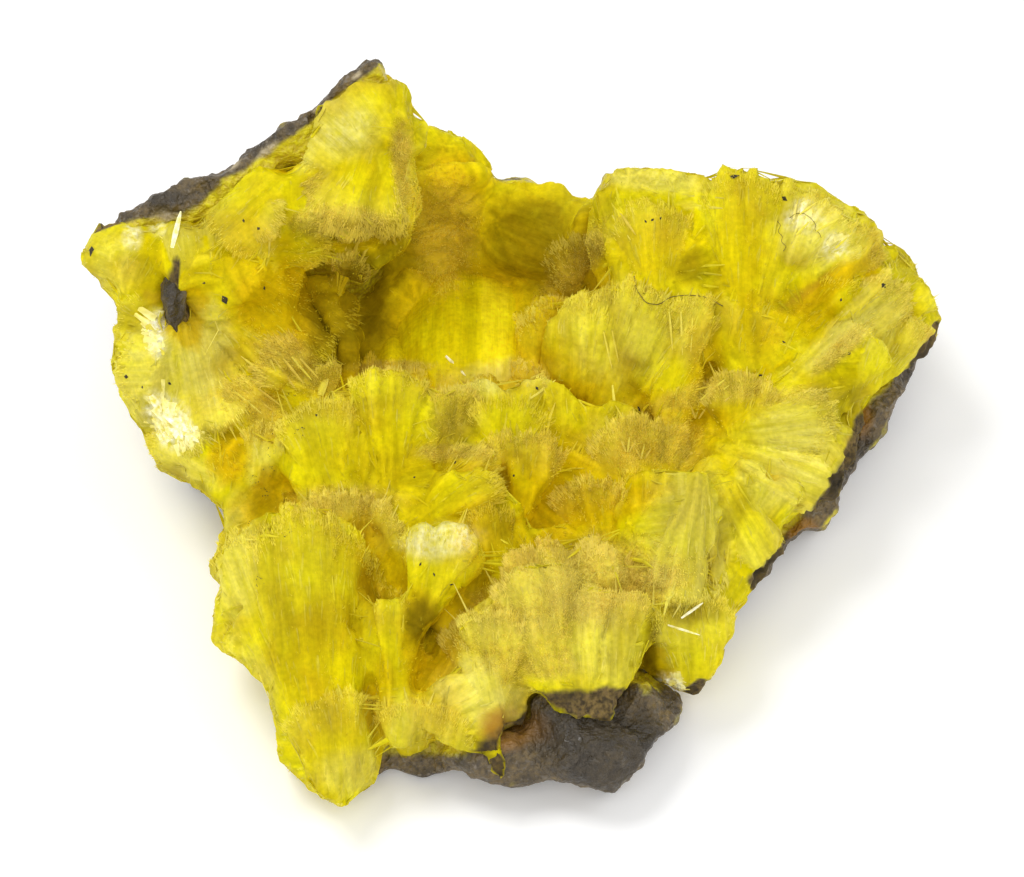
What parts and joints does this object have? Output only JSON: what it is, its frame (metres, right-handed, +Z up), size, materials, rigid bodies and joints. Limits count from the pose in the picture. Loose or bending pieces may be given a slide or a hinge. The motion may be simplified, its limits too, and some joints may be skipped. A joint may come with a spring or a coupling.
{
  "type": "sabugalite on autunite specimen",
  "caption": "Hand specimen of yellow autunite fans on dark matrix rock, with a sabugalite-lined hollow between a raised arm and a dome; rests flat on its rock foot.",
  "frame": {"origin": "on the table, under the middle of the specimen's bounding box", "axes": "+X to the right along the specimen's longest side, +Y away from its crystal face, +Z up from the flat rock foot"},
  "size_m": [0.0516, 0.0476, 0.0253],
  "materials": {
    "matrix_rock": "rough broken rock, dark brown to black, with dull glassy grains",
    "autunite": "waxy to pearly lemon-yellow crystal books",
    "sabugalite": "dull golden to tan fuzzy sprays"
  },
  "bodies": {
    "root": {"matrix_rock": "matrix_rock", "autunite_mass": "autunite", "sabugalite_crust": "sabugalite"}
  },
  "joints": []
}
